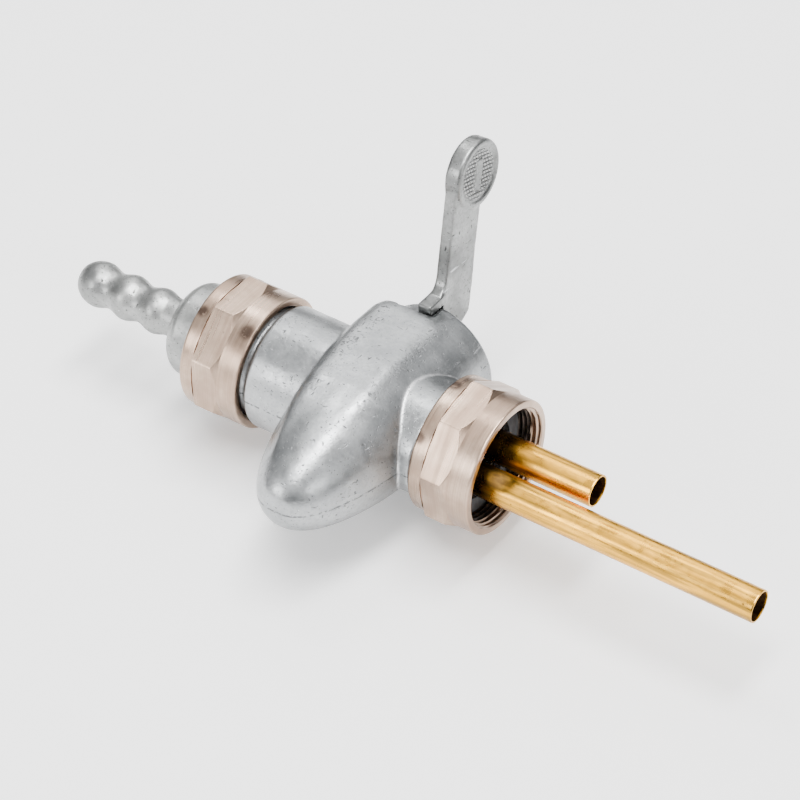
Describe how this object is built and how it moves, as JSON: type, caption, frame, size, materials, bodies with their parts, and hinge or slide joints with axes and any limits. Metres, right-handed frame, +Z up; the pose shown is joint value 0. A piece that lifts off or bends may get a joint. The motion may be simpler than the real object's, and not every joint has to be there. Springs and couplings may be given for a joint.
{
  "type": "fuel tap",
  "caption": "Bullet-bodied petrol tap with reserve: quarter-turn lever, union nut with stand pipes for the tank and a ribbed hose barb held by a second union nut.",
  "frame": {"origin": "centre of the tank sealing face, on the through axis of the two unions", "axes": "+X along the through axis into the tank, +Y along the lever spindle away from the bullet nose, +Z up, the way the lever points when shut"},
  "size_m": [0.1569, 0.0755, 0.0566],
  "materials": {
    "zinc_casting": "zinc die casting, satin, with small casting pits",
    "satin_nickel": "satin champagne nickel over turned brass",
    "brass_tube": "drawn brass, lightly tarnished",
    "zinc_plated_steel": "zinc plated steel",
    "black_rubber": "black nitrile rubber",
    "grey_fibre": "pressed grey gasket fibre"
  },
  "bodies": {
    "tap": {"valve_body": "zinc_casting", "seal_sleeve": "black_rubber", "thrust_washer": "zinc_plated_steel", "wave_spring": "zinc_plated_steel", "snap_ring": "zinc_plated_steel", "nut_retaining_ring": "zinc_plated_steel", "tank_gasket": "grey_fibre", "outlet_gasket": "grey_fibre", "hose_barb": "zinc_casting", "outlet_nut": "satin_nickel", "main_pipe": "brass_tube", "reserve_pipe": "brass_tube"},
    "lever": {"lever": "zinc_casting", "valve_rotor": "brass_tube", "spindle_o_ring": "black_rubber", "lever_washer": "zinc_plated_steel", "lever_screw": "zinc_plated_steel"},
    "tank_nut": {"tank_nut": "satin_nickel"}
  },
  "joints": [
    {"name": "lever_turn", "type": "hinge", "parent": "tap", "child": "lever", "pos_m": [-0.024, 0, 0], "axis": [0, -1, 0], "range_deg": [0, 180]},
    {"name": "tank_nut_spin", "type": "hinge", "parent": "tap", "child": "tank_nut", "pos_m": [-0.0087, 0, 0], "axis": [1, 0, 0], "continuous": true}
  ]
}
